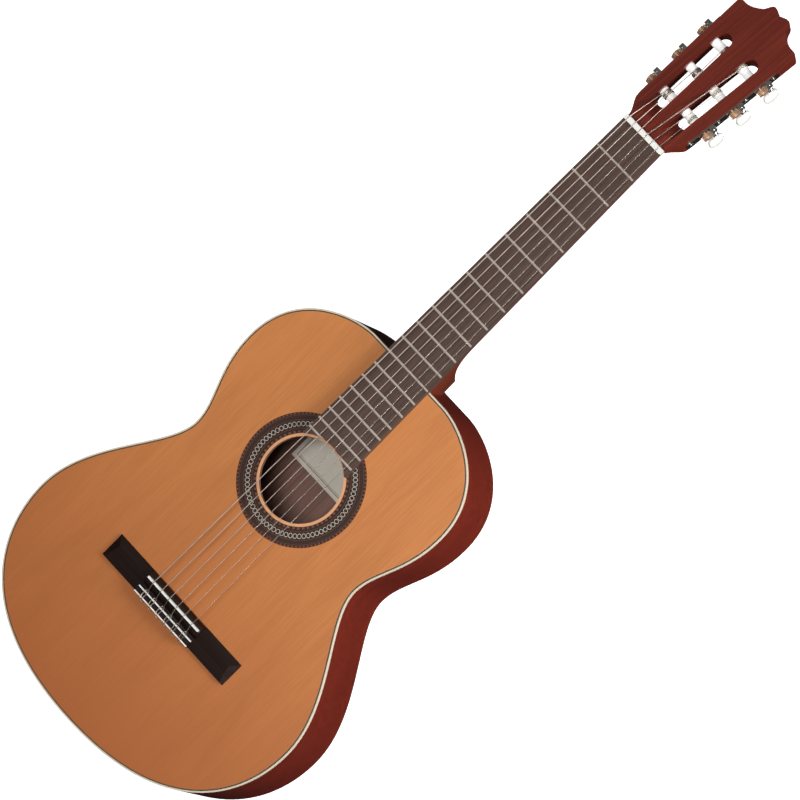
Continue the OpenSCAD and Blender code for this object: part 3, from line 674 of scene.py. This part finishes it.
def build_neck():
    ys = np.concatenate([[JOINT_Y], np.linspace(JOINT_Y + HEEL_FOOT, JOINT_Y + HEEL_LEN, 40),
                         np.linspace(JOINT_Y + HEEL_LEN, HEAD_Y - 22, 30)[1:]])
    rings = [neck_ring(y) for y in ys]
    for t in np.linspace(0, 1, 14)[1:]:
        y = HEAD_Y - 22 + t * 32
        blend = t * t * (3 - 2 * t)
        under = -(HEAD_Z - (y - HEAD_Y) * math.tan(HEAD_TILT) - HEAD_T / math.cos(HEAD_TILT)) - 0.4
        depth = neck_depth(y) * (1 - blend) + under * blend
        lift = -max(0.0, y - HEAD_Y) * math.tan(HEAD_TILT) - (1.0 if y > HEAD_Y - 1 else 0.0)
        rings.append(neck_ring(y, depth, lift))
    mesh("neck_shaft", *loft(rings), NECK_WOOD, replaces=["neck"], slot="mahogany_neck")
    loops = [head_outline(), slot_loop(1), slot_loop(-1)]

    def cut_end(z):
        flat = [loop.copy() for loop in loops]
        edge = flat[0]
        shift = -z * math.tan(HEAD_TILT)
        near = edge[:, 1] < 0.01
        edge[near, 1] = shift
        return flat
    block = mesh("head_block", *prism(cut_end(-VENEER_T), -HEAD_T, -VENEER_T), HEAD_WOOD, at=HEAD,
                 replaces=["headstock"], slot="mahogany_neck")
    face = mesh("head_face", *prism(loops, -VENEER_T, 0), HEAD_WOOD, at=HEAD, replaces=["head_veneer"],
                slot="dark_veneer")
    for side in (-1, 1):
        carve(block, *ramp_cutter(side))
        carve(block, *shoulder_cutter(side))
        carve(face, *ramp_cutter(side))
    add_bevel(block, 0.8)
    add_bevel(face, 0.5)


# ---------------------------------------------------------------- strings
def to_top(p):
    q = Matrix.Translation((0, HEAD_Y, HEAD_Z)) @ Matrix.Rotation(-HEAD_TILT, 4, "X") @ Vector(p)
    return tuple(q)


def build_strings():
    for i in range(6):
        r = STRING_D[i] / 2
        xs, xn = SADDLE_SPAN / 2 - i * SADDLE_SPAN / 5, NUT_SPAN / 2 - i * NUT_SPAN / 5
        y0, z0, z1 = SADDLE_Y - SADDLE_T, SADDLE_Z + r + 0.02, NUT_STRING_Z + r
        material, slot = (NYLON, "nylon") if i < 3 else (WOUND, "wound_string")
        top_z = BLOCK_H + r + 0.05
        # the tail: out of the hole, up over the tie block, round the string, back and tucked under
        tie = smooth_path([
            (xs, TIE_FRONT + 0.6, TIE_Z + 0.15), (xs, TIE_FRONT - 4, TIE_Z), (xs, BRIDGE_BACK - 0.5, TIE_Z),
            (xs + 0.4, BRIDGE_BACK - 1.5, TIE_Z + 1.0), (xs + 1.2, BRIDGE_BACK - 0.6, top_z),
            (xs + 1.8, BRIDGE_BACK + 3, top_z), (xs + 1.9, TIE_FRONT - 0.5, top_z),
            (xs + 1.7, TIE_FRONT + 1.4, TIE_Z + 1.9), (xs + 0.3, TIE_FRONT + 2.4, TIE_Z + 0.3),
            (xs - 1.4, TIE_FRONT + 1.6, TIE_Z + 1.8), (xs - 1.6, TIE_FRONT - 0.5, top_z),
            (xs - 1.3, BRIDGE_BACK + 3, top_z), (xs - 0.4, BRIDGE_BACK - 0.6, top_z + 0.1),
            (xs + 1.0, BRIDGE_BACK - 1.7, TIE_Z + 2.0), (xs + 3.6, BRIDGE_BACK - 1.9, TIE_Z + 1.2)], 6)
        run = [(xs, TIE_FRONT + 0.6, TIE_Z + 0.15), (xs, y0 - 1.2, z0 - 0.75), (xs, y0 - 0.4, z0 - 0.12),
               (xs, y0 + 0.6, z0), (xs, SADDLE_Y + 2, z0), (xn, NUT_Y, z1), (xn, HEAD_Y - 0.3, z1),
               (xn, HEAD_Y + 1.2, z1 - 0.15),
               to_top((ROLLER_X[i], station(i), AXIS_Z + ROLLER_R + r))]
        parts = join(tube(tie, r, 12), tube(run, r, 12))
        mesh("string_%d_line" % (i + 1), *parts, material, slot=slot,
             replaces=["treble_strings", "bass_strings"] if i in (0, 3) else ())
        # the windings turn with the roller
        turns = 4.5
        a = np.linspace(0, turns * 2 * math.pi, int(turns * 24))
        to_tuner = tuner_matrix(i).inverted() @ HEAD
        start = to_tuner @ Vector((ROLLER_X[i], station(i), AXIS_Z))
        rr = ROLLER_R + r
        coil = np.stack([start.x + 0.2 - a / (2 * math.pi) * STRING_D[i] * 1.12,
                         station(i) + rr * np.sin(a), AXIS_Z + rr * np.cos(a)], 1)
        mesh("winding_%d" % (i + 1), *tube(coil, r, 10), material, at=tuner_matrix(i), slot=slot,
             body="string_post_%d" % (i + 1))


# ---------------------------------------------------------------- tuning machines
def build_tuners():
    for i in range(6):
        k = i + 1
        at = tuner_matrix(i) @ Matrix.Translation((MESH_X, station(i) + CENTRE_DIST, AXIS_Z))
        turns = 2 * WORM_HALF / LEAD
        rings = []
        for z in np.linspace(-WORM_HALF, WORM_HALF, int(turns * 28)):
            t = np.linspace(0, 2 * math.pi, 36, endpoint=False)
            a = t - 2 * math.pi * z / LEAD
            r = WORM_OFF * np.cos(a) + np.sqrt(WORM_R ** 2 - (WORM_OFF * np.sin(a)) ** 2)
            rings.append(np.stack([-r * np.sin(t), r * np.cos(t), np.full(36, z)], 1))
        low = BUTTON_TOP - AXIS_Z - 6
        shaft = tube([(0, 0, low), (0, 0, low + 1), (0, 0, WORM_HALF + 3.1), (0, 0, WORM_HALF + 3.4)],
                     [SHAFT_R, SHAFT_R, SHAFT_R, SHAFT_R - 0.3], 24)
        mesh("worm_shaft_%d" % k, *join(loft(np.array(rings)[:, ::-1]), shaft), NICKEL, at=at,
             body="tuner_key_%d" % k, replaces=["worm_%d" % k], slot="nickel_plate")
        build_button(k, at)


def build_button(k, at):
    """Flattened oval knob with a round collar, from rounded sections down its length."""
    rows = [(0.0, 2.6, 2.6), (-0.5, 3.0, 3.0), (-1.8, 3.0, 3.0), (-2.6, 3.6, 2.9), (-3.8, 5.8, 3.0),
            (-5.6, 7.5, 3.3), (-8.0, 8.5, 3.7), (-11, 8.75, 3.8), (-15, 8.7, 3.7), (-18.5, 7.9, 3.3),
            (-21.2, 5.9, 2.7), (-22.8, 3.6, 1.9), (-23.4, 1.0, 0.8)]
    z, wide, thick = smooth_path([(r[0], r[1], r[2]) for r in rows], 5).T
    t = np.linspace(0, 2 * math.pi, 40, endpoint=False)
    c, s = np.cos(t), np.sin(t)
    rings = []
    for zz, w, d in zip(z, wide, thick):
        square = 2 / (2 + 0.9 * min(1, max(0, (w - d) / 3)))
        rings.append(np.stack([d * np.sign(c) * np.abs(c) ** square, w * np.sign(s) * np.abs(s) ** square,
                               np.full(40, zz + BUTTON_TOP - AXIS_Z)], 1))
    mesh("knob_%d" % k, *loft(np.array(rings)[:, ::-1]), PEARL, at=at, body="tuner_key_%d" % k,
         replaces=["button_%d" % k], slot="pearl_plastic", sharp=60)


# ---------------------------------------------------------------- CAD nodes that keep their shape
def finish_cad_nodes():
    cad_look(BOARD, "fingerboard", bevel=0.3)
    cad_look(FRET, "frets", bevel=0.12)
    cad_look(BONE, "nut", "saddle", "tie_block_inlays", bevel=0.25)
    cad_look(BRIDGE_WOOD, "bridge", bevel=0.35)
    cad_look(NICKEL, "tuner_plate_bass", "tuner_plate_treble", "plate_screws", bevel=0.2)
    cad_look(SPRUCE, "top_braces", "bridge_patch", "back_braces")
    cad_look(BACK, "soundhole_doubler")
    cad_look(INNER, "top_linings", "back_linings", "neck_block", "tail_block")
    cad_look(CREAM, "end_graft")
    cad_look(BACK, "back_centre_strip")
    cad_look(NECK_WOOD, "heel_cap", bevel=0.4)
    cad_look(PAPER, "label")
    for k in range(1, 7):
        cad_look(BRASS, "gear_%d" % k, bevel=0.12)
        cad_look(WHITE, "roller_%d" % k, bevel=0.4)


# ---------------------------------------------------------------- stage
SKY = 0.25
LAMPS = (("overhead", (0.25, 0.15, 2.4), 0.7, 29), ("side", (1.8, 1.0, 0.75), 0.9, 52))


def build_stage():
    """White floor that stays white, a sky that is brightest overhead, and two soft lamps."""
    n = Nodes("floor")
    n.set(Base_Color=(0.9, 0.9, 0.9, 1), Roughness=0.9, Emission_Color=(1, 1, 1, 1), Emission_Strength=1.0)
    m = bpy.data.meshes.new("floor")
    size = 30.0
    m.from_pydata([(-size, -size, -0.0005), (size, -size, -0.0005), (size, size, -0.0005),
                   (-size, size, -0.0005)], [], [(0, 1, 2, 3)])
    m.materials.append(n.material)
    floor = bpy.data.objects.new("floor", m)
    floor.visible_diffuse = False
    floor.visible_glossy = False
    bpy.context.collection.objects.link(floor)
    world = bpy.data.worlds.new("studio")
    world.use_nodes = True
    tree = world.node_tree
    direction = tree.nodes.new("ShaderNodeTexCoord")
    split = tree.nodes.new("ShaderNodeSeparateXYZ")
    sky = tree.nodes.new("ShaderNodeValToRGB")
    sky.color_ramp.elements[0].position = 0.0
    sky.color_ramp.elements[0].color = (0.05, 0.05, 0.05, 1)
    sky.color_ramp.elements[1].position = 0.9
    sky.color_ramp.elements[1].color = (0.55, 0.55, 0.56, 1)
    tree.links.new(direction.outputs["Generated"], split.inputs[0])
    tree.links.new(split.outputs[2], sky.inputs["Fac"])
    tree.links.new(sky.outputs["Color"], tree.nodes["Background"].inputs["Color"])
    tree.nodes["Background"].inputs["Strength"].default_value = SKY
    bpy.context.scene.world = world
    for name, place, size, power in LAMPS:
        data = bpy.data.lights.new(name, "AREA")
        data.energy = power
        data.size = size
        lamp = bpy.data.objects.new(name, data)
        lamp.location = place
        lamp.rotation_euler = (Vector((0, 0.1, 0)) - Vector(place)).to_track_quat("-Z", "Y").to_euler()
        bpy.context.collection.objects.link(lamp)
    bpy.context.scene.view_settings.view_transform = "Standard"


def build_camera():
    """Camera given in the top frame, in metres: where it is, what it looks at, and which way is up."""
    place, aim = Vector((2.03015, 1.06836, 6.61459)), Vector((0.01396, 0.21666, 0))
    up = Vector((-0.70032, 0.70317, 0.12292))
    back = (place - aim).normalized()
    right = up.cross(back).normalized()
    up = back.cross(right)
    data = bpy.data.cameras.new("camera")
    data.lens = 319.66
    data.sensor_width = 36.0
    data.clip_start, data.clip_end = 0.05, 100
    cam = bpy.data.objects.new("camera", data)
    rotation = Matrix((right, up, back)).transposed().to_4x4()
    top = Matrix.Translation((0, 0, BODY_DEPTH * MM)) @ Matrix.Rotation(-TAPER, 4, "X")
    cam.matrix_world = top @ Matrix.Translation(place) @ rotation
    bpy.context.collection.objects.link(cam)
    bpy.context.scene.camera = cam


build_camera()
build_stage()
build_body()
build_neck()
build_strings()
build_tuners()
finish_cad_nodes()
